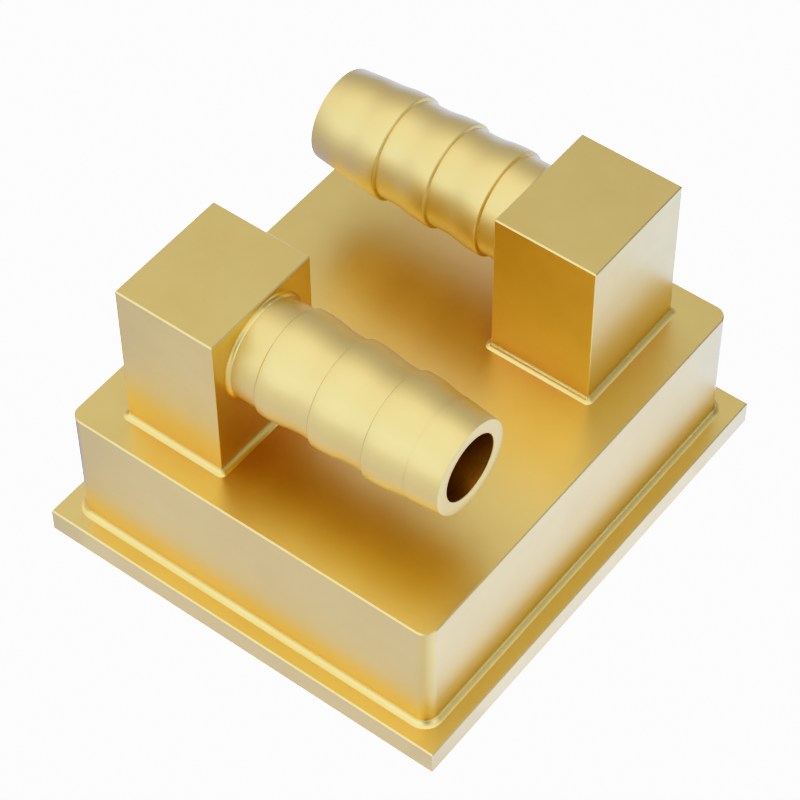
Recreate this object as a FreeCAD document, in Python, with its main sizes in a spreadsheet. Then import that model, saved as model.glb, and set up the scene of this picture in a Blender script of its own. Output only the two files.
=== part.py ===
import FreeCAD, Part
import math
import os
import Sketcher

# Brazed brass cold plate: a flat base plate that carries a field of fins, a milled cover
# over the fins, and two port blocks on the cover, each with a turned hose tail.
# Millimetres. +Z is up. The origin is the middle of the base plate's underside.
# Coolant enters one block, drops through the cover into a plenum, runs between the fins
# along Y, and leaves by the other block. The outlet side is the inlet side turned half a
# turn about Z.

DRIVING = {
    "base_width": (40.0, "base plate, along X"),
    "base_depth": (45.0, "base plate, along Y"),
    "base_thick": (2.5, "base plate, along Z"),
    "ledge": (1.8, "clamping ledge left free round the cover"),
    "edge_break": (0.1, "deburring of the outer edges"),
    "cover_height": (12.2, "cover, from the base plate to its top"),
    "cover_corner": (1.2, "radius of the cover's upright corners"),
    "wall_thick": (2.5, "cover, side wall"),
    "roof_thick": (4.2, "cover, above the cavity"),
    "cavity_corner": (2.0, "radius that the end mill leaves in the cavity"),
    "fin_thick": (0.6, "one fin"),
    "fin_gap": (0.6, "channel between two fins"),
    "fin_clearance": (0.1, "between the fin tips and the cover's roof"),
    "fin_setback": (0.3, "from the fins' ends to the port bores"),
    "block_width": (9.7, "port block, along X"),
    "block_depth": (11.9, "port block, along Y"),
    "block_height": (15.1, "port block, above the cover"),
    "block_inset_x": (3.95, "from the cover's side to the block's, along X"),
    "block_inset_y": (2.95, "from the cover's side to the block's, along Y"),
    "passage_bore": (6.0, "drilled coolant passage, diameter"),
    "drill_angle": (118.0, "point angle of the drill, degrees"),
    "port_height": (10.0, "hose tail's axis above the cover"),
    "boss_bore_wall": (1.0, "wall of the block's locating boss"),
    "boss_height": (2.0, "locating boss under the block"),
    "braze_gap": (0.05, "capillary gap round a boss or spigot"),
    "tail_length": (20.0, "hose tail, from the block to its end"),
    "tail_bore": (5.9, "hose tail, bore diameter"),
    "tail_tube": (8.9, "hose tail, diameter between the barbs"),
    "tail_tip": (8.3, "hose tail, diameter at its end"),
    "spigot_step": (0.45, "shoulder between tube and spigot, on the radius"),
    "spigot_length": (3.0, "spigot in the block's socket"),
    "barb_rise": (0.3, "barb over the tube, on the radius"),
    "barb_start": (2.7, "from the block to the first barb"),
    "barb_pitch": (5.15, "from barb to barb"),
    "barb_count": (3, "barbs on a tail"),
    "barb_step": (0.12, "length of a barb's steep side"),
    "barb_land": (1.4, "length of a barb's crest"),
    "barb_cone": (1.75, "length of a barb's gentle side"),
    "lead_in": (2.8, "tapered end of the tail"),
    "barb_round": (0.18, "rounding of a barb's crest"),
    "mouth_break": (0.1, "deburring of the tail's end, inside and out"),
    "cover_braze": (0.5, "leg of the braze fillet round the cover"),
    "block_braze": (0.48, "leg of the braze fillet round a block"),
    "tail_braze": (0.33, "leg of the braze fillet round a tail"),
    "wetting_angle": (15.0, "angle at which braze meets the wall, degrees"),
}

DERIVED = {
    "cover_width": "base_width - 2 * ledge",
    "cover_depth": "base_depth - 2 * ledge",
    "cover_top": "base_thick + cover_height",
    "cavity_width": "cover_width - 2 * wall_thick",
    "cavity_depth": "cover_depth - 2 * wall_thick",
    "cavity_height": "cover_height - roof_thick",
    "port_x": "cover_width / 2 - block_inset_x - block_width / 2",
    "port_y": "cover_depth / 2 - block_inset_y - block_depth / 2",
    "port_z": "cover_top + port_height",
    "drill_tip": "passage_bore / 2 / tan(drill_angle / 2)",
    "boss": "passage_bore + 2 * boss_bore_wall",
    "spigot": "tail_tube - 2 * spigot_step",
    "fin_pitch": "fin_thick + fin_gap",
    "fin_count": "floor((cavity_width - fin_gap) / fin_pitch)",
    "fin_span": "(fin_count - 1) * fin_pitch",
    "fin_length": "2 * (port_y - passage_bore / 2 - fin_setback)",
    "fin_height": "cavity_height - fin_clearance",
}

NEAR = 1e-4  # how closely an edge must lie to be picked, in millimetres

doc = FreeCAD.newDocument("cold_plate")
sheet = doc.addObject("Spreadsheet::Sheet", "sizes")


def fill_sheet():
    """Write the driving sizes as numbers and the rest as formulas over them."""
    rows = [(name, str(number), meaning) for name, (number, meaning) in DRIVING.items()]
    rows += [(name, "=" + formula, "worked out") for name, formula in DERIVED.items()]
    for row, (name, content, meaning) in enumerate(rows, start=1):
        sheet.set(f"A{row}", name)
        sheet.set(f"B{row}", content)
        sheet.setAlias(f"B{row}", name)
        sheet.set(f"C{row}", meaning)
    doc.recompute()


def new_body(label, x="0", y="0", z="0", turn=0.0):
    """A body whose own frame stands at x, y, z, turned about Z by turn degrees."""
    body = doc.addObject("PartDesign::Body", label)
    body.Label = label
    body.Placement = FreeCAD.Placement(
        FreeCAD.Vector(0, 0, 0), FreeCAD.Rotation(FreeCAD.Vector(0, 0, 1), turn)
    )
    for axis, place in (("x", x), ("y", y), ("z", z)):
        body.setExpression(f"Placement.Base.{axis}", place)
    return body


def new_sketch(body, name, role, offset="0", rise="0"):
    """A sketch on one of the body's own planes, moved along its normal by offset and
    along its own Y by rise."""
    plane = next(item for item in body.Origin.OriginFeatures if item.Role == role)
    sketch = body.newObject("Sketcher::SketchObject", f"{body.Label}_{name}")
    sketch.AttachmentSupport = [(plane, "")]
    sketch.MapMode = "FlatFace"
    sketch.setExpression("AttachmentOffset.Base.z", offset)
    sketch.setExpression("AttachmentOffset.Base.y", rise)
    return sketch


def pin_point(sketch, index, end, point):
    """Hold one end of a piece of a sketch at a point given by two formulas."""
    for kind, formula in zip(("DistanceX", "DistanceY"), point):
        size = float(sketch.evalExpression(formula))
        constraint = sketch.addConstraint(Sketcher.Constraint(kind, -1, 1, index, end, size))
        sketch.setExpression(f"Constraints[{constraint}]", formula)


def arc_between(first, last, radius, turn):
    """The short arc from first to last: turn is 1 anticlockwise and -1 clockwise."""
    chord = last - first
    aside = FreeCAD.Vector(-chord.y, chord.x, 0).normalize() * turn
    reach = math.sqrt(max(radius**2 - (chord.Length / 2) ** 2, 0.0))
    centre = first + chord * 0.5 + aside * reach
    ends = (first, last) if turn > 0 else (last, first)
    angles = [math.atan2(point.y - centre.y, point.x - centre.x) for point in ends]
    circle = Part.Circle(centre, FreeCAD.Vector(0, 0, 1), radius)
    return Part.ArcOfCircle(circle, angles[0], angles[1])


def draw_outline(sketch, points, arcs=None):
    """Close an outline through points. arcs gives, by the point where it starts, an
    arc's radius and its turn; every other stretch is straight."""
    arcs = arcs or {}
    places = [
        FreeCAD.Vector(*(float(sketch.evalExpression(formula)) for formula in point), 0)
        for point in points
    ]
    ends = []
    for number, place in enumerate(places):
        after = places[(number + 1) % len(places)]
        if number in arcs:
            radius, turn = arcs[number]
            size = float(sketch.evalExpression(radius))
            index = sketch.addGeometry(arc_between(place, after, size, turn))
            ends.append((index, 1, 2) if turn > 0 else (index, 2, 1))
        else:
            index = sketch.addGeometry(Part.LineSegment(place, after))
            ends.append((index, 1, 2))
    for number, point in enumerate(points):
        index, first, _ = ends[number]
        before, _, last = ends[number - 1]
        sketch.addConstraint(Sketcher.Constraint("Coincident", before, last, index, first))
        pin_point(sketch, index, first, point)
    for number, (radius, _) in arcs.items():
        index = ends[number][0]
        size = float(sketch.evalExpression(radius))
        constraint = sketch.addConstraint(Sketcher.Constraint("Radius", index, size))
        sketch.setExpression(f"Constraints[{constraint}]", radius)


def draw_rectangle(sketch, width, depth, x="0"):
    """A rectangle about the sketch's origin, or about a point on its X axis."""
    low_x = f"{x} - ({width}) / 2"
    high_x = f"{x} + ({width}) / 2"
    low_y = f"-({depth}) / 2"
    high_y = f"({depth}) / 2"
    corners = [(low_x, low_y), (high_x, low_y), (high_x, high_y), (low_x, high_y)]
    draw_outline(sketch, corners)


def draw_circle(sketch, diameter, x="0", y="0"):
    """A circle about a point given by two formulas."""
    size = float(sketch.evalExpression(diameter))
    centre = FreeCAD.Vector(*(float(sketch.evalExpression(formula)) for formula in (x, y)), 0)
    circle = Part.Circle(centre, FreeCAD.Vector(0, 0, 1), size / 2)
    index = sketch.addGeometry(circle)
    pin_point(sketch, index, 3, (x, y))
    constraint = sketch.addConstraint(Sketcher.Constraint("Diameter", index, size))
    sketch.setExpression(f"Constraints[{constraint}]", diameter)


def extrude(body, kind, sketch, length, reverse=False):
    """A Pad or Pocket of a sketch. Stops the build if it changes nothing."""
    before = body.Shape.Volume if body.Tip else 0.0
    feature = body.newObject(f"PartDesign::{kind}", f"{sketch.Name}_{kind.lower()}")
    feature.Profile = sketch
    feature.setExpression("Length", length)
    feature.Reversed = reverse
    doc.recompute()
    if abs(body.Shape.Volume - before) < NEAR:
        raise RuntimeError(f"{feature.Name} changes nothing")
    return feature


def spin(body, kind, sketch, axis):
    """A full Revolution or Groove of a sketch about one of its own axes."""
    before = body.Shape.Volume if body.Tip else 0.0
    feature = body.newObject(f"PartDesign::{kind}", f"{sketch.Name}_{kind.lower()}")
    feature.Profile = sketch
    feature.ReferenceAxis = (sketch, [axis])
    feature.Angle = 360.0
    doc.recompute()
    if abs(body.Shape.Volume - before) < NEAR:
        raise RuntimeError(f"{feature.Name} changes nothing")
    return feature


def dress(body, kind, name, size, wanted):
    """A Fillet or Chamfer of the body's edges for which wanted(edge) is true."""
    base = body.Tip
    edges = [f"Edge{n}" for n, edge in enumerate(base.Shape.Edges, start=1) if wanted(edge)]
    feature = body.newObject(f"PartDesign::{kind}", f"{body.Label}_{name}")
    feature.Base = (base, edges)
    feature.setExpression("Radius" if kind == "Fillet" else "Size", size)
    doc.recompute()
    return feature


def is_upright(edge):
    """True for an edge that runs along Z."""
    box = edge.BoundBox
    return box.XLength < NEAR and box.YLength < NEAR


def lies_at(height):
    """A test for edges that lie level at a height in the body's own frame."""
    level = float(sheet.evalExpression(height))
    return lambda edge: abs(edge.BoundBox.ZMin - level) < NEAR and edge.BoundBox.ZLength < NEAR


def draw_rounded_rectangle(sketch, width, depth, corner):
    """A rounded rectangle about the origin, starting in the middle of its low side."""
    flat_x = f"(({width}) / 2 - {corner})"
    flat_y = f"(({depth}) / 2 - {corner})"
    full_x = f"({width}) / 2"
    full_y = f"({depth}) / 2"
    points = [
        ("0", f"-{full_y}"),
        (flat_x, f"-{full_y}"),
        (full_x, f"-{flat_y}"),
        (full_x, flat_y),
        (flat_x, full_y),
        (f"-{flat_x}", full_y),
        (f"-{full_x}", flat_y),
        (f"-{full_x}", f"-{flat_y}"),
        (f"-{flat_x}", f"-{full_y}"),
    ]
    draw_outline(sketch, points, {number: (corner, 1) for number in (1, 3, 5, 7)})


def braze_radius(leg):
    """Radius of a braze fillet's hollow face, which meets both walls at the wetting angle."""
    return f"{leg} / (sqrt(2) * sin(45 - sizes.wetting_angle))"


def make_base_plate():
    """The plate with its skived fins, all one piece of metal."""
    body = new_body("base_plate")
    plate = new_sketch(body, "outline", "XY_Plane")
    draw_rectangle(plate, "sizes.base_width", "sizes.base_depth")
    extrude(body, "Pad", plate, "sizes.base_thick")
    dress(body, "Chamfer", "deburred", "sizes.edge_break", lambda edge: not is_upright(edge))

    fin = new_sketch(body, "fin", "XY_Plane", "sizes.base_thick")
    draw_rectangle(fin, "sizes.fin_thick", "sizes.fin_length", x="-sizes.fin_span / 2")
    first_fin = extrude(body, "Pad", fin, "sizes.fin_height")
    row = body.newObject("PartDesign::LinearPattern", "base_plate_fins")
    row.Originals = [first_fin]
    row.Direction = (fin, ["H_Axis"])
    row.setExpression("Length", "sizes.fin_span")
    row.setExpression("Occurrences", "sizes.fin_count")
    body.Tip = row
    return body


def make_cover():
    """The milled cover: open below, with a stepped hole under each port block."""
    body = new_body("cover", z="sizes.base_thick")
    outside = new_sketch(body, "outline", "XY_Plane")
    draw_rectangle(outside, "sizes.cover_width", "sizes.cover_depth")
    extrude(body, "Pad", outside, "sizes.cover_height")
    dress(body, "Fillet", "corners", "sizes.cover_corner", is_upright)
    dress(body, "Chamfer", "deburred", "sizes.edge_break", lies_at("sizes.cover_height"))

    cavity = new_sketch(body, "cavity", "XY_Plane")
    draw_rounded_rectangle(
        cavity, "sizes.cavity_width", "sizes.cavity_depth", "sizes.cavity_corner"
    )
    extrude(body, "Pocket", cavity, "sizes.cavity_height", reverse=True)

    holes = new_sketch(body, "ports", "XY_Plane", "sizes.cover_height")
    seats = new_sketch(body, "seats", "XY_Plane", "sizes.cover_height")
    for sign in ("-", ""):
        place = (f"{sign}sizes.port_x", f"{sign}sizes.port_y")
        draw_circle(holes, "sizes.passage_bore", *place)
        draw_circle(seats, "sizes.boss + 2 * sizes.braze_gap", *place)
    extrude(body, "Pocket", holes, "sizes.roof_thick")
    extrude(body, "Pocket", seats, "sizes.boss_height + sizes.braze_gap")
    return body


def make_port_block(label, sign, turn):
    """A square block drilled as an elbow: up from its boss, and out of its +X side."""
    body = new_body(
        label, f"{sign}sizes.port_x", f"{sign}sizes.port_y", "sizes.cover_top", turn
    )
    foot = new_sketch(body, "foot", "XY_Plane")
    draw_rectangle(foot, "sizes.block_width", "sizes.block_depth")
    extrude(body, "Pad", foot, "sizes.block_height")
    dress(body, "Fillet", "corners", "sizes.edge_break", is_upright)
    dress(body, "Chamfer", "deburred", "sizes.edge_break", lies_at("sizes.block_height"))

    boss = new_sketch(body, "boss", "XY_Plane")
    draw_circle(boss, "sizes.boss")
    extrude(body, "Pad", boss, "sizes.boss_height", reverse=True)

    riser = new_sketch(body, "riser", "XZ_Plane")
    foot_z = "-sizes.boss_height"
    bore = "sizes.passage_bore / 2"
    top_z = "sizes.port_height"
    tip_z = "sizes.port_height + sizes.drill_tip"
    draw_outline(riser, [("0", foot_z), (bore, foot_z), (bore, top_z), ("0", tip_z)])
    spin(body, "Groove", riser, "V_Axis")

    socket = new_sketch(body, "socket", "XZ_Plane", rise="sizes.port_height")
    face_x = "sizes.block_width / 2"
    seat_x = "sizes.block_width / 2 - sizes.spigot_length - sizes.braze_gap"
    seat = "sizes.spigot / 2 + sizes.braze_gap"
    section = [
        (face_x, "0"),
        (face_x, seat),
        (seat_x, seat),
        (seat_x, bore),
        ("0", bore),
        ("-sizes.drill_tip", "0"),
    ]
    draw_outline(socket, section)
    spin(body, "Groove", socket, "H_Axis")
    return body


def port_face(sign):
    """The place where a block's side takes its hose tail."""
    return (
        f"{sign}(sizes.port_x - sizes.block_width / 2)",
        f"{sign}sizes.port_y",
        "sizes.port_z",
    )


def make_hose_tail(label, sign, turn):
    """A turned tube along +X: a spigot for the block's socket, then barbs for the hose."""
    body = new_body(label, *port_face(sign), turn)
    section = new_sketch(body, "section", "XZ_Plane")
    tube = "sizes.tail_tube / 2"
    crest = "sizes.tail_tube / 2 + sizes.barb_rise"
    spigot_end = "-sizes.spigot_length"
    points = [
        (spigot_end, "sizes.tail_bore / 2"),
        (spigot_end, "sizes.spigot / 2"),
        ("0", "sizes.spigot / 2"),
        ("0", tube),
    ]
    barbs = []
    for number in range(int(sheet.barb_count)):
        foot_x = f"sizes.barb_start + {number} * sizes.barb_pitch"
        top_x = f"{foot_x} + sizes.barb_step"
        land_x = f"{top_x} + sizes.barb_land"
        points += [
            (foot_x, tube),
            (top_x, crest),
            (land_x, crest),
            (f"{land_x} + sizes.barb_cone", tube),
        ]
        barbs.append(float(sheet.evalExpression(top_x)))
    points += [
        ("sizes.tail_length - sizes.lead_in", tube),
        ("sizes.tail_length", "sizes.tail_tip / 2"),
        ("sizes.tail_length", "sizes.tail_bore / 2"),
    ]
    draw_outline(section, points)
    spin(body, "Revolution", section, "H_Axis")

    def is_barb_edge(edge):
        box = edge.BoundBox
        return box.XLength < NEAR and any(abs(box.XMin - place) < NEAR for place in barbs)

    def is_mouth_edge(edge):
        box = edge.BoundBox
        return box.XLength < NEAR and abs(box.XMin - sheet.tail_length) < NEAR

    dress(body, "Fillet", "barb_rounding", "sizes.barb_round", is_barb_edge)
    dress(body, "Chamfer", "mouth_deburred", "sizes.mouth_break", is_mouth_edge)
    return body


def make_foot_braze(label, width, depth, corner, leg, place):
    """The braze fillet round the foot of an upright block: its section swept once round."""
    body = new_body(label, *place)
    path = new_sketch(body, "path", "XY_Plane")
    draw_rounded_rectangle(path, width, depth, corner)
    section = new_sketch(body, "section", "YZ_Plane")
    wall_y = f"-({depth}) / 2"
    points = [(wall_y, "0"), (f"{wall_y} - {leg}", "0"), (wall_y, leg)]
    draw_outline(section, points[::-1], {0: (braze_radius(leg), -1)})
    sweep = body.newObject("PartDesign::AdditivePipe", f"{label}_sweep")
    sweep.Profile = section
    sweep.Spine = path
    sweep.Transition = "Round corner"
    doc.recompute()
    return body


def make_tail_braze(label, sign, turn):
    """The braze fillet round a hose tail where it meets its block."""
    body = new_body(label, *port_face(sign), turn)
    section = new_sketch(body, "section", "XZ_Plane")
    tube = "sizes.tail_tube / 2"
    leg = "sizes.tail_braze"
    points = [(leg, tube), ("0", f"{tube} + {leg}"), ("0", tube)]
    draw_outline(section, points, {0: (braze_radius(leg), -1)})
    spin(body, "Revolution", section, "H_Axis")
    return body


def make_port(side, sign, turn):
    """A port block, its hose tail, and the braze that holds each of them."""
    return [
        make_port_block(f"{side}_port_block", sign, turn),
        make_hose_tail(f"{side}_hose_tail", sign, turn),
        make_foot_braze(
            f"{side}_block_braze",
            "sizes.block_width",
            "sizes.block_depth",
            "sizes.edge_break",
            "sizes.block_braze",
            (f"{sign}sizes.port_x", f"{sign}sizes.port_y", "sizes.cover_top"),
        ),
        make_tail_braze(f"{side}_tail_braze", sign, turn),
    ]


def check_document():
    """Stop on any object that failed to build."""
    doc.recompute()
    for item in doc.Objects:
        if "Invalid" in item.State or "Error" in item.State:
            raise RuntimeError(f"{item.Name} failed: {item.State}")


def write_parts(bodies):
    """Write each body to a STEP file of its own, once its solid is known to be sound."""
    os.makedirs("parts", exist_ok=True)
    for body in bodies:
        shape = body.Shape
        if shape.isNull() or not shape.isValid() or len(shape.Solids) != 1:
            raise RuntimeError(f"{body.Label} isn't one valid solid")
        shape.exportStep(f"parts/{body.Label}.step")
        print(f"{body.Label}: {shape.Volume:.2f} mm3, {len(shape.Faces)} faces")


fill_sheet()
bodies = [make_base_plate(), make_cover()]
bodies.append(
    make_foot_braze(
        "cover_braze",
        "sizes.cover_width",
        "sizes.cover_depth",
        "sizes.cover_corner",
        "sizes.cover_braze",
        ("0", "0", "sizes.base_thick"),
    )
)
bodies += make_port("inlet", "-", 0.0)
bodies += make_port("outlet", "", 180.0)
check_document()
write_parts(bodies)
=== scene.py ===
import math

import bpy
from mathutils import Matrix, Vector


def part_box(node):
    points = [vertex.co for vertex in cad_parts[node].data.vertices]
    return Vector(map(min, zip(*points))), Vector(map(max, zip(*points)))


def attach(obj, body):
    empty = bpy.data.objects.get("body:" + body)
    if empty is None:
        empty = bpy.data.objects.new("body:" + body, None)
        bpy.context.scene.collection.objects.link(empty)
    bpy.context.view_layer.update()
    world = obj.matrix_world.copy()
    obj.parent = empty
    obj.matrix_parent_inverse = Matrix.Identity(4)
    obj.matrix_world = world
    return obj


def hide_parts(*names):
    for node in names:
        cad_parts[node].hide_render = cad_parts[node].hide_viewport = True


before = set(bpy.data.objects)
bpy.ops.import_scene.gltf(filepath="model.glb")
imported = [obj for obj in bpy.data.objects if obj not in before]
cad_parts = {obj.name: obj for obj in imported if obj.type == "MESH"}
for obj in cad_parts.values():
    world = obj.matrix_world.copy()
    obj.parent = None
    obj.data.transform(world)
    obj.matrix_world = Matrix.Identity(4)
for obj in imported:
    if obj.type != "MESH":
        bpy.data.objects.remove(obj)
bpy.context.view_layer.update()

# Camera: a long lens, high over the corner between the front (-Y) and the right (+X).
# It stands far enough off that the upright edges stay nearly parallel.
camera_place = Vector((0.09524, -0.12277, 0.19874))
camera_azimuth = math.radians(37.9216)  # from the front towards the right
camera_elevation = math.radians(50.5408)
camera_roll = math.radians(-0.5577)
camera_lens = 132.67  # millimetres
sensor_width = 36.0  # millimetres
back = Vector((
    math.sin(camera_azimuth) * math.cos(camera_elevation),
    -math.cos(camera_azimuth) * math.cos(camera_elevation),
    math.sin(camera_elevation),
))
level = Vector((math.cos(camera_azimuth), math.sin(camera_azimuth), 0.0))
rise = back.cross(level)
right = level * math.cos(camera_roll) + rise * math.sin(camera_roll)
up = rise * math.cos(camera_roll) - level * math.sin(camera_roll)
lens = bpy.data.cameras.new("camera")
lens.lens = camera_lens
lens.sensor_width = sensor_width
camera = bpy.data.objects.new("camera", lens)
turn = Matrix((right, up, back)).transposed()
camera.matrix_world = Matrix.Translation(camera_place) @ turn.to_4x4()
bpy.context.scene.collection.objects.link(camera)
bpy.context.scene.camera = camera
bpy.context.scene.view_settings.view_transform = "Khronos PBR Neutral"

# Floor: a board of white acrylic, lit from below, so that the plate casts no shadow on it.
# Four lamps under it glow to the plate's four sides; the board itself looks plain white.
white_seen = 3.0  # over white, so that the board and the room show no edge
board_size = 6.0
board_drop = 0.00002  # keeps the board clear of the plate's underside
board_lamps = [  # the side of the plate that a lamp stands on, then its light
    ((0.0, -1.0, 0.0), (0.75, 0.85, 1.25)),
    ((1.0, 0.0, 0.0), (0.95, 1.15, 1.80)),
    ((0.0, 1.0, 0.0), (0.85, 1.10, 1.90)),
    ((-1.0, 0.0, 0.0), (0.50, 0.55, 0.95)),
]
lamp_fades = (0.607, 0.807)  # cosine off the lamp's side where its light is gone, and is whole


def cosine_to(tree, direction, aim):
    """The cosine between a linked direction and a fixed aim."""
    between = tree.nodes.new("ShaderNodeVectorMath")
    between.operation = "DOT_PRODUCT"
    between.inputs[1].default_value = aim
    tree.links.new(direction, between.inputs[0])
    return between.outputs["Value"]


def ramp(tree, value, start, full):
    """Rise from 0 to 1 as the value goes from start to full."""
    slope = tree.nodes.new("ShaderNodeMapRange")
    slope.inputs["From Min"].default_value = start
    slope.inputs["From Max"].default_value = full
    tree.links.new(value, slope.inputs["Value"])
    return slope.outputs["Result"]


def dimmed(tree, light, strength):
    """This light times a linked strength."""
    lamp = tree.nodes.new("ShaderNodeVectorMath")
    lamp.operation = "SCALE"
    lamp.inputs[0].default_value = light
    tree.links.new(strength, lamp.inputs["Scale"])
    return lamp.outputs["Vector"]


def added_up(tree, lights):
    """All of these lights together."""
    total = lights[0]
    for light in lights[1:]:
        both = tree.nodes.new("ShaderNodeVectorMath")
        both.operation = "ADD"
        tree.links.new(total, both.inputs[0])
        tree.links.new(light, both.inputs[1])
        total = both.outputs["Vector"]
    return total


def white_to_camera(tree, light, shader_kind, output_kind):
    """Light the plate with this light, and show the camera plain white."""
    seen = tree.nodes.new("ShaderNodeLightPath")
    glow = tree.nodes.new(shader_kind)
    tree.links.new(light, glow.inputs["Color"])
    white = tree.nodes.new(shader_kind)
    white.inputs["Strength"].default_value = white_seen
    choose = tree.nodes.new("ShaderNodeMixShader")
    tree.links.new(seen.outputs["Is Camera Ray"], choose.inputs["Fac"])
    tree.links.new(glow.outputs[0], choose.inputs[1])
    tree.links.new(white.outputs[0], choose.inputs[2])
    out = tree.nodes.new(output_kind)
    tree.links.new(choose.outputs["Shader"], out.inputs["Surface"])


bpy.ops.object.select_all(action="DESELECT")
bpy.ops.mesh.primitive_plane_add(size=board_size, location=(0.0, 0.0, -board_drop))
bpy.ops.object.transform_apply(location=True)
floor = bpy.context.active_object
floor.name = "floor"
board = bpy.data.materials.new("lit_board")
board.use_nodes = True
tree = board.node_tree
tree.nodes.clear()
place = tree.nodes.new("ShaderNodeTexCoord")
outward = tree.nodes.new("ShaderNodeVectorMath")
outward.operation = "NORMALIZE"
tree.links.new(place.outputs["Object"], outward.inputs[0])
lamps = []
for side, light in board_lamps:
    facing = cosine_to(tree, outward.outputs["Vector"], side)
    lamps.append(dimmed(tree, light, ramp(tree, facing, *lamp_fades)))
white_to_camera(tree, added_up(tree, lamps), "ShaderNodeEmission", "ShaderNodeOutputMaterial")
floor.data.materials.append(board)

# Light: soft boxes round a dark room, each a direction that glows and fades off.
# The brightest stand low in front and overhead, and the next at the right and the left.
# A box at an angle of t from its middle glows by exp(box_sharpness * (cos t - 1)).
box_sharpness = 8.0
overhead_cloth = (0.87, 1.0, 1.30)
warm_cloth = (0.92, 1.0, 1.40)
cool_cloth = (0.80, 1.0, 1.55)
soft_boxes = [  # azimuth from +X and elevation in degrees, then the brightness and the cloth
    (0, 90, 1.35, overhead_cloth),
    (30, 55, 0.35, warm_cloth),
    (90, 55, 0.15, warm_cloth),
    (150, 55, 0.35, warm_cloth),
    (210, 55, 0.45, cool_cloth),
    (270, 55, 0.45, cool_cloth),
    (330, 55, 0.35, cool_cloth),
    (0, 18, 1.25, cool_cloth),
    (90, 18, 0.50, warm_cloth),
    (135, 18, 0.20, warm_cloth),
    (180, 18, 0.90, warm_cloth),
    (225, 18, 0.85, cool_cloth),
    (270, 18, 1.85, cool_cloth),
]
world = bpy.data.worlds.new("studio")
bpy.context.scene.world = world
world.use_nodes = True
tree = world.node_tree
tree.nodes.clear()
place = tree.nodes.new("ShaderNodeTexCoord")
boxes = []
for azimuth, elevation, brightness, cloth in soft_boxes:
    around, above = math.radians(azimuth), math.radians(elevation)
    middle = (
        math.cos(around) * math.cos(above),
        math.sin(around) * math.cos(above),
        math.sin(above),
    )
    fade = tree.nodes.new("ShaderNodeMath")
    fade.operation = "MULTIPLY_ADD"
    fade.inputs[1].default_value = box_sharpness
    fade.inputs[2].default_value = -box_sharpness
    tree.links.new(cosine_to(tree, place.outputs["Generated"], middle), fade.inputs[0])
    glow = tree.nodes.new("ShaderNodeMath")
    glow.operation = "EXPONENT"
    tree.links.new(fade.outputs["Value"], glow.inputs[0])
    light = [brightness * part for part in cloth]
    boxes.append(dimmed(tree, light, glow.outputs["Value"]))
white_to_camera(tree, added_up(tree, boxes), "ShaderNodeBackground", "ShaderNodeOutputWorld")

# Base plate: the foot of the cold plate and the fins on it, one bar of brass.
# Its outside is milled, deburred and blasted with fine beads to an even satin.
# The blasting leaves a fine grain, and hands leave faint dull patches.
grain_detail = 2.0
patch_detail = 3.0
patch_roughness = 0.55
patch_dulls = (0.35, 0.70)  # patch noise where the dulling starts, and is whole
noise_means = 1.0  # the grain's mean and the patches' mean added up


def start_group(name, inputs, outputs):
    """A new node group with these sockets; hands back it and its two ends."""
    group = bpy.data.node_groups.new(name, "ShaderNodeTree")
    for in_out, sockets in (("INPUT", inputs), ("OUTPUT", outputs)):
        for socket, kind in sockets:
            group.interface.new_socket(socket, in_out=in_out, socket_type="NodeSocket" + kind)
    return group, group.nodes.new("NodeGroupInput"), group.nodes.new("NodeGroupOutput")


def blend(tree, kind, share, first, second):
    """Go from the first of two linked values to the second by a linked share."""
    mix = tree.nodes.new("ShaderNodeMix")
    mix.data_type = kind
    tree.links.new(share, mix.inputs["Factor"])
    tree.links.new(first, mix.inputs["A"])
    tree.links.new(second, mix.inputs["B"])
    return mix.outputs["Result"]


satin, given, result = start_group(
    "satin_grain",
    inputs=(
        ("Colour", "Color"),
        ("Dull Colour", "Color"),
        ("Roughness", "Float"),
        ("Roughness Spread", "Float"),
        ("Grains Per Metre", "Float"),
        ("Patches Per Metre", "Float"),
    ),
    outputs=(("Colour", "Color"), ("Roughness", "Float"), ("Height", "Float")),
)
place = satin.nodes.new("ShaderNodeTexCoord")
grain = satin.nodes.new("ShaderNodeTexNoise")
grain.inputs["Detail"].default_value = grain_detail
satin.links.new(place.outputs["Object"], grain.inputs["Vector"])
satin.links.new(given.outputs["Grains Per Metre"], grain.inputs["Scale"])
patch = satin.nodes.new("ShaderNodeTexNoise")
patch.inputs["Detail"].default_value = patch_detail
patch.inputs["Roughness"].default_value = patch_roughness
satin.links.new(place.outputs["Object"], patch.inputs["Vector"])
satin.links.new(given.outputs["Patches Per Metre"], patch.inputs["Scale"])
dulled = ramp(satin, patch.outputs["Fac"], *patch_dulls)
tone = blend(satin, "RGBA", dulled, given.outputs["Colour"], given.outputs["Dull Colour"])
satin.links.new(tone, result.inputs["Colour"])
mottle = satin.nodes.new("ShaderNodeMath")
mottle.operation = "ADD"
satin.links.new(grain.outputs["Fac"], mottle.inputs[0])
satin.links.new(patch.outputs["Fac"], mottle.inputs[1])
centred = satin.nodes.new("ShaderNodeMath")
centred.operation = "SUBTRACT"
centred.inputs[1].default_value = noise_means
satin.links.new(mottle.outputs["Value"], centred.inputs[0])
spread = satin.nodes.new("ShaderNodeMath")
spread.operation = "MULTIPLY_ADD"
satin.links.new(centred.outputs["Value"], spread.inputs[0])
satin.links.new(given.outputs["Roughness Spread"], spread.inputs[1])
satin.links.new(given.outputs["Roughness"], spread.inputs[2])
satin.links.new(spread.outputs["Value"], result.inputs["Roughness"])
satin.links.new(grain.outputs["Fac"], result.inputs["Height"])

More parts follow.
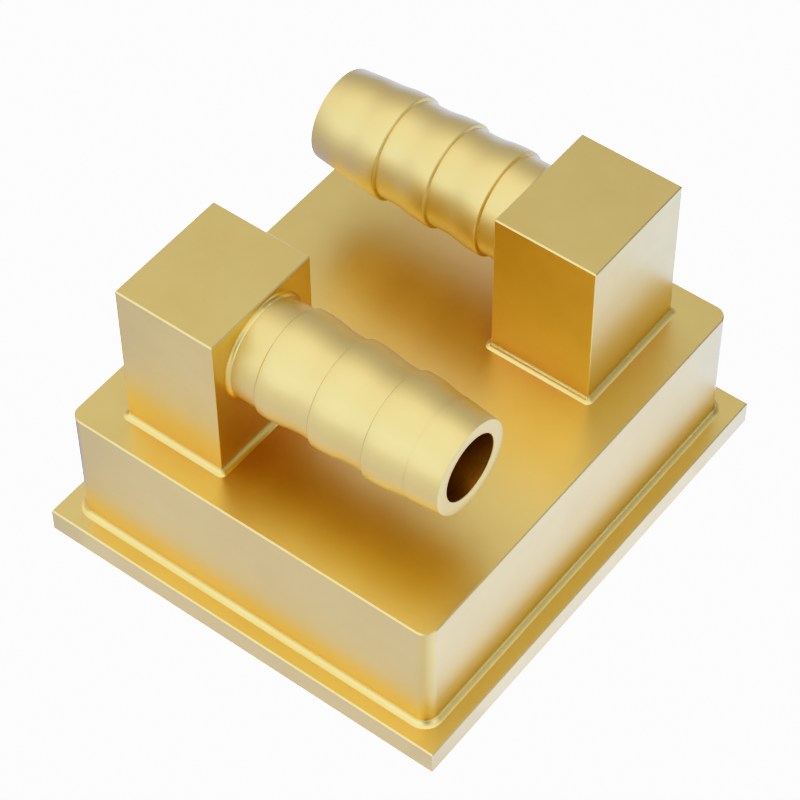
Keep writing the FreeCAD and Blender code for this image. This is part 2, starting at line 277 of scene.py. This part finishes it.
# Handling polishes the deburred edges smoother than the faces beside them, and their colour is
# painted paler there as a painted highlight.
edge_samples = 6
edge_shows = (0.985, 0.90)  # cosine to the rounded normal where an edge starts, and is whole
rubs_per_metre = 900.0
rub_detail = 3.0
rub_breaks = (0.30, 0.55)  # noise where the rubbing starts, and is whole
wear_and_highlight, given, result = start_group(
    "edge_wear_and_highlight",
    inputs=(
        ("Colour", "Color"),
        ("Rubbed Colour", "Color"),
        ("Roughness", "Float"),
        ("Rubbed Roughness", "Float"),
        ("Reach", "Float"),
    ),
    outputs=(("Colour", "Color"), ("Roughness", "Float")),
)
surface = wear_and_highlight.nodes.new("ShaderNodeNewGeometry")
rounded = wear_and_highlight.nodes.new("ShaderNodeBevel")
rounded.samples = edge_samples
wear_and_highlight.links.new(given.outputs["Reach"], rounded.inputs["Radius"])
agree = wear_and_highlight.nodes.new("ShaderNodeVectorMath")
agree.operation = "DOT_PRODUCT"
wear_and_highlight.links.new(rounded.outputs["Normal"], agree.inputs[0])
wear_and_highlight.links.new(surface.outputs["Normal"], agree.inputs[1])
place = wear_and_highlight.nodes.new("ShaderNodeTexCoord")
uneven = wear_and_highlight.nodes.new("ShaderNodeTexNoise")
uneven.inputs["Scale"].default_value = rubs_per_metre
uneven.inputs["Detail"].default_value = rub_detail
wear_and_highlight.links.new(place.outputs["Object"], uneven.inputs["Vector"])
rubbed_and_highlit = wear_and_highlight.nodes.new("ShaderNodeMath")
rubbed_and_highlit.operation = "MULTIPLY"
wear_and_highlight.links.new(ramp(wear_and_highlight, agree.outputs["Value"], *edge_shows), rubbed_and_highlit.inputs[0])
wear_and_highlight.links.new(ramp(wear_and_highlight, uneven.outputs["Fac"], *rub_breaks), rubbed_and_highlit.inputs[1])
# The colour blend paints the highlight; the roughness blend is the real polish.
for kind, looks in (("RGBA", "Colour"), ("FLOAT", "Roughness")):
    plain, polished = given.outputs[looks], given.outputs["Rubbed " + looks]
    mixed = blend(wear_and_highlight, kind, rubbed_and_highlit.outputs["Value"], plain, polished)
    wear_and_highlight.links.new(mixed, result.inputs[looks])

# Painted shade: where the cover and the blocks are closed in, their brass looks red-brown in
# shade, so their colour is painted darker and redder there, by how closed in a spot is. The
# cause isn't known, so the tint goes only by how closed in a spot is.
shelter_samples = 12
painted_shade_group, given, result = start_group(
    "painted_shade_tint",
    inputs=(
        ("Colour", "Color"),
        ("Tint", "Color"),
        ("Reach", "Float"),
        ("Open From", "Float"),
        ("Sheltered To", "Float"),
    ),
    outputs=(("Colour", "Color"),),
)
openness = painted_shade_group.nodes.new("ShaderNodeAmbientOcclusion")
openness.samples = shelter_samples
painted_shade_group.links.new(given.outputs["Reach"], openness.inputs["Distance"])
closed = painted_shade_group.nodes.new("ShaderNodeMapRange")
painted_shade_group.links.new(openness.outputs["AO"], closed.inputs["Value"])
painted_shade_group.links.new(given.outputs["Open From"], closed.inputs["From Min"])
painted_shade_group.links.new(given.outputs["Sheltered To"], closed.inputs["From Max"])
tone = blend(
    painted_shade_group, "RGBA", closed.outputs["Result"], given.outputs["Colour"], given.outputs["Tint"]
)
painted_shade_group.links.new(tone, result.inputs["Colour"])


def start_metal(name, coat_weight=0.0, coat_ior=1.5, coat_roughness=0.0):
    """A new metal material; hands back it, its node tree and its shader."""
    material = bpy.data.materials.new(name)
    material.use_nodes = True
    shader = material.node_tree.nodes["Principled BSDF"]
    shader.inputs["Metallic"].default_value = 1.0
    if coat_weight:
        shader.inputs["Coat Weight"].default_value = coat_weight
        shader.inputs["Coat IOR"].default_value = coat_ior
        shader.inputs["Coat Roughness"].default_value = coat_roughness
    return material, material.node_tree, shader


def add_group(tree, group, values):
    """Use a node group in this tree with these values."""
    node = tree.nodes.new("ShaderNodeGroup")
    node.node_tree = group
    for socket, value in values.items():
        node.inputs[socket].default_value = value
    return node


def add_satin(tree, colour, dull, roughness, spread, grains, patches):
    """Use the satin group in this tree; grains and patches are counted per metre."""
    return add_group(tree, satin, {
        "Colour": (*colour, 1.0),
        "Dull Colour": (*dull, 1.0),
        "Roughness": roughness,
        "Roughness Spread": spread,
        "Grains Per Metre": grains,
        "Patches Per Metre": patches,
    })


def dent_surface(tree, shader, height, depth):
    """Raise the surface by a linked height, this many metres from low to high."""
    bump = tree.nodes.new("ShaderNodeBump")
    bump.inputs["Distance"].default_value = depth
    tree.links.new(height, bump.inputs["Height"])
    tree.links.new(bump.outputs["Normal"], shader.inputs["Normal"])
    return bump


def dress(name, material):
    """Give a solid this material alone."""
    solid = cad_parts[name]
    solid.data.materials.clear()
    solid.data.materials.append(material)


bar_colour = (0.865, 0.585, 0.110)
bar_dull = (0.83, 0.548, 0.092)
bar_roughness = 0.35
bar_coat_ior = 1.8
blasted_coat_roughness = 0.35
blasted_spread = 0.06
# The rubbed colour is paler than the brass: a painted highlight along the edges, on top of the
# real smoother wear.
rubbed_highlight_colour = (0.95, 0.74, 0.34)
rubbed_roughness = 0.26
rubbed_reach = 0.00012
shelter_reach = 0.016
shelter_between = (0.64, 0.34)  # share of open sky where the tint starts, and is whole


def blasted_brass(
    name, grains, patches, dent, colour=bar_colour, dull=bar_dull,
    roughness=bar_roughness, coat_ior=bar_coat_ior, painted_shade=None,
):
    """Satin brass with rubbed edges, their paler colour a painted highlight; dent is the depth
    of the grain in metres.

    The last argument is the painted shade colour of its closed-in places, where the piece has
    any.
    """
    material, tree, shader = start_metal(
        name, coat_weight=1.0, coat_ior=coat_ior, coat_roughness=blasted_coat_roughness
    )
    body = add_satin(tree, colour, dull, roughness, blasted_spread, grains, patches)
    rim = add_group(tree, wear_and_highlight, {
        "Rubbed Colour": (*rubbed_highlight_colour, 1.0),
        "Rubbed Roughness": rubbed_roughness,
        "Reach": rubbed_reach,
    })
    ground = body
    if painted_shade:
        ground = add_group(tree, painted_shade_group, {
            "Tint": (*painted_shade, 1.0),
            "Reach": shelter_reach,
            "Open From": shelter_between[0],
            "Sheltered To": shelter_between[1],
        })
        tree.links.new(body.outputs["Colour"], ground.inputs["Colour"])
    tree.links.new(ground.outputs["Colour"], rim.inputs["Colour"])
    tree.links.new(body.outputs["Roughness"], rim.inputs["Roughness"])
    tree.links.new(rim.outputs["Colour"], shader.inputs["Base Color"])
    tree.links.new(rim.outputs["Roughness"], shader.inputs["Roughness"])
    dent_surface(tree, shader, body.outputs["Height"], dent)
    return material


dress("base_plate", blasted_brass(
    "base_plate_brass", grains=5200.0, patches=210.0, dent=0.000002
))

# Cover: a box milled from one bar of brass, with the cavity and the passages inside.
# It stands on the base plate and is brazed to it, and its grain is the finest of all.
# Painted shade: the closed-in places of the cover and the blocks are painted this darker
# red-brown.
painted_shade_colour = (0.77, 0.36, 0.09)
dress("cover", blasted_brass(
    "cover_brass", grains=5600.0, patches=160.0, dent=0.000002, painted_shade=painted_shade_colour
))

# Port blocks: two blocks of the same bar, each milled square and cross drilled.
# A boss under each sits in the cover's seat, and the side face takes the hose tail.
for name in ("inlet_port_block", "outlet_port_block"):
    # Their closed-in places get the painted shade too.
    dress(name, blasted_brass(
        name + "_brass", grains=5400.0, patches=240.0, dent=0.0000015, painted_shade=painted_shade_colour
    ))

# Hose tails: two tubes turned from round bar, with three barbs that grip the hose.
# Each has a spigot in its block's socket and a tapered end for pushing the hose on.
# The turned face keeps fine rings; the drilled bore is painted dark brown, painted shade
# inside the tube.
tail_sides = 128
spigot_length = 0.0030
tail_length = 0.0200
bore_radius = 0.00295
tube_radius = 0.00445
spigot_radius = 0.0040
tip_radius = 0.00415
barb_height = 0.0003
crest_radius = tube_radius + barb_height
barbs = 3
first_barb = 0.0027
barb_pitch = 0.00515
barb_step = 0.00012
barb_land = 0.0014
barb_cone = 0.00175
lead_in = 0.0028
crest_bevel = 0.00012
soft_bevel = 0.0007
mouth_bevel = 0.0001
bevel_steps = 4
mouth_bevel_steps = 2
same_place = 1e-6  # how near along the tail counts as on a ring
same_radius = 1e-5  # how near in radius counts as on a ring or on the bore's wall
same_point = 1e-7
wall_slope = 0.2  # faces of the bore's wall look along the tail by less than this
smooth_below = math.radians(30)

tail_outline = [  # along the tail from its block, then the radius
    (-spigot_length, spigot_radius),
    (0.0, spigot_radius),
    (0.0, tube_radius),
]
crests = []
cone_tops = []
cone_feet = []
for number in range(barbs):
    foot = first_barb + number * barb_pitch
    top = foot + barb_step
    tail_outline += [
        (foot, tube_radius),
        (top, crest_radius),
        (top + barb_land, crest_radius),
        (top + barb_land + barb_cone, tube_radius),
    ]
    crests.append(top)
    cone_tops.append(top + barb_land)
    cone_feet.append(top + barb_land + barb_cone)
cone_feet.append(tail_length - lead_in)
tail_outline += [
    (tail_length - lead_in, tube_radius),
    (tail_length, tip_radius),
    (tail_length, bore_radius),
    (-spigot_length, bore_radius),
    (-spigot_length, spigot_radius),
]

ring_detail = 2.0
turned, given, result = start_group(
    "lathe_rings",
    inputs=(("Rings Per Metre", "Float"), ("Grain Height", "Float"), ("Ring Share", "Float")),
    outputs=(("Height", "Float"),),
)
place = turned.nodes.new("ShaderNodeTexCoord")
along = turned.nodes.new("ShaderNodeSeparateXYZ")
turned.links.new(place.outputs["Object"], along.inputs["Vector"])
rings = turned.nodes.new("ShaderNodeTexNoise")
rings.noise_dimensions = "1D"
rings.inputs["Detail"].default_value = ring_detail
turned.links.new(along.outputs["X"], rings.inputs["W"])
turned.links.new(given.outputs["Rings Per Metre"], rings.inputs["Scale"])
height = blend(
    turned, "FLOAT", given.outputs["Ring Share"], given.outputs["Grain Height"],
    rings.outputs["Fac"],
)
turned.links.new(height, result.inputs["Height"])

tail_brass = blasted_brass(
    "tail_brass", grains=5000.0, patches=230.0, dent=0.0000025,
    colour=(0.89, 0.64, 0.19), dull=(0.87, 0.62, 0.175), roughness=0.50, coat_ior=1.45,
)
tree = tail_brass.node_tree
grain_node = next(n for n in tree.nodes if n.type == "GROUP" and n.node_tree == satin)
bump = next(n for n in tree.nodes if n.type == "BUMP")
lathe = add_group(tree, turned, {"Rings Per Metre": 7000.0, "Ring Share": 0.45})
tree.links.new(grain_node.outputs["Height"], lathe.inputs["Grain Height"])
tree.links.new(lathe.outputs["Height"], bump.inputs["Height"])

bore_depth = 0.000005
# Painted shade: the bore's brass is painted dark brown where the inside of the tube lies in
# shade.
bore_painted_shade, tree, shader = start_metal("drilled_bore_painted_shade")
body = add_satin(
    tree, colour=(0.30, 0.11, 0.025), dull=(0.20, 0.07, 0.015),
    roughness=0.42, spread=0.2, grains=4200.0, patches=600.0,
)
tree.links.new(body.outputs["Colour"], shader.inputs["Base Color"])
tree.links.new(body.outputs["Roughness"], shader.inputs["Roughness"])
lathe = add_group(tree, turned, {"Rings Per Metre": 5000.0, "Ring Share": 0.7})
tree.links.new(body.outputs["Height"], lathe.inputs["Grain Height"])
dent_surface(tree, shader, lathe.outputs["Height"], bore_depth)


def bevel_rings(tail, places, radius, root, direction, width, steps):
    """Round the rings of a tail that lie at these places and have about this radius."""
    bpy.ops.mesh.select_all(action="DESELECT")
    bpy.ops.mesh.select_mode(type="EDGE")
    bpy.ops.object.mode_set(mode="OBJECT")
    mesh = tail.data
    for edge in mesh.edges:
        ends = [mesh.vertices[v].co for v in edge.vertices]
        for x in places:
            on_ring = all(
                abs((end.x - root.x) * direction - x) < same_place
                and abs(math.hypot(end.y - root.y, end.z - root.z) - radius) < same_radius
                for end in ends
            )
            if on_ring:
                edge.select = True
    bpy.ops.object.mode_set(mode="EDIT")
    bpy.ops.mesh.bevel(offset=width, segments=steps, affect="EDGES")


ring_bevels = (  # places along the tail, radius, width and steps
    (crests, crest_radius, crest_bevel, bevel_steps),
    (cone_tops, crest_radius, soft_bevel, bevel_steps),
    (cone_feet, tube_radius, soft_bevel, bevel_steps),
    ([tail_length], tip_radius, mouth_bevel, mouth_bevel_steps),
    ([tail_length], bore_radius, mouth_bevel, mouth_bevel_steps),
)
for name, direction in (("inlet", 1.0), ("outlet", -1.0)):
    low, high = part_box(name + "_hose_tail")
    mouth = high[0] if direction > 0 else low[0]
    root = Vector((
        mouth - direction * tail_length,
        (low[1] + high[1]) / 2,
        (low[2] + high[2]) / 2,
    ))
    first_x, first_radius = tail_outline[0]
    bpy.ops.object.select_all(action="DESELECT")
    bpy.ops.mesh.primitive_circle_add(
        vertices=tail_sides,
        radius=first_radius,
        location=root + Vector((direction * first_x, 0.0, 0.0)),
        rotation=(0.0, math.pi / 2, 0.0),
    )
    bpy.ops.object.transform_apply(location=True, rotation=True, scale=True)
    tail = bpy.context.active_object
    tail.name = name + "_hose_tail_turned"
    bpy.ops.object.mode_set(mode="EDIT")
    bpy.ops.mesh.select_all(action="SELECT")
    for (x, radius), (next_x, next_radius) in zip(tail_outline, tail_outline[1:]):
        bpy.ops.mesh.extrude_edges_move(
            TRANSFORM_OT_translate={"value": (direction * (next_x - x), 0.0, 0.0)}
        )
        ratio = next_radius / radius
        bpy.ops.transform.resize(
            value=(1.0, ratio, ratio),
            center_override=root + Vector((direction * next_x, 0.0, 0.0)),
        )
    bpy.ops.mesh.select_all(action="SELECT")
    bpy.ops.mesh.remove_doubles(threshold=same_point)
    for places, radius, width, steps in ring_bevels:
        bevel_rings(tail, places, radius, root, direction, width, steps)
    bpy.ops.mesh.select_all(action="SELECT")
    bpy.ops.mesh.normals_make_consistent(inside=False)
    bpy.ops.object.mode_set(mode="OBJECT")
    tail.data.materials.append(tail_brass)
    tail.data.materials.append(bore_painted_shade)
    for face in tail.data.polygons:
        out_by = math.hypot(face.center.y - root.y, face.center.z - root.z)
        if out_by < bore_radius + same_radius and abs(face.normal.x) < wall_slope:
            face.material_index = 1
    bpy.ops.object.shade_smooth_by_angle(angle=smooth_below)
    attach(tail, "root")
    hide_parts(name + "_hose_tail")

# Braze fillets: brass filler that ran into the joints and set with a hollow face.
# One goes round the cover's foot, one round each block's foot and one round each tail.
# It flowed smooth, so it has a low ripple in place of the blasted grain.
ripple_depth = 0.000012
braze, tree, shader = start_metal(
    "set_braze", coat_weight=0.5, coat_ior=1.5, coat_roughness=0.30
)
body = add_satin(
    tree, colour=(0.93, 0.66, 0.19), dull=(0.90, 0.62, 0.16),
    roughness=0.30, spread=0.12, grains=1100.0, patches=260.0,
)
tree.links.new(body.outputs["Colour"], shader.inputs["Base Color"])
tree.links.new(body.outputs["Roughness"], shader.inputs["Roughness"])
dent_surface(tree, shader, body.outputs["Height"], ripple_depth)
for name in (
    "cover_braze",
    "inlet_block_braze", "outlet_block_braze",
    "inlet_tail_braze", "outlet_tail_braze",
):
    dress(name, braze)
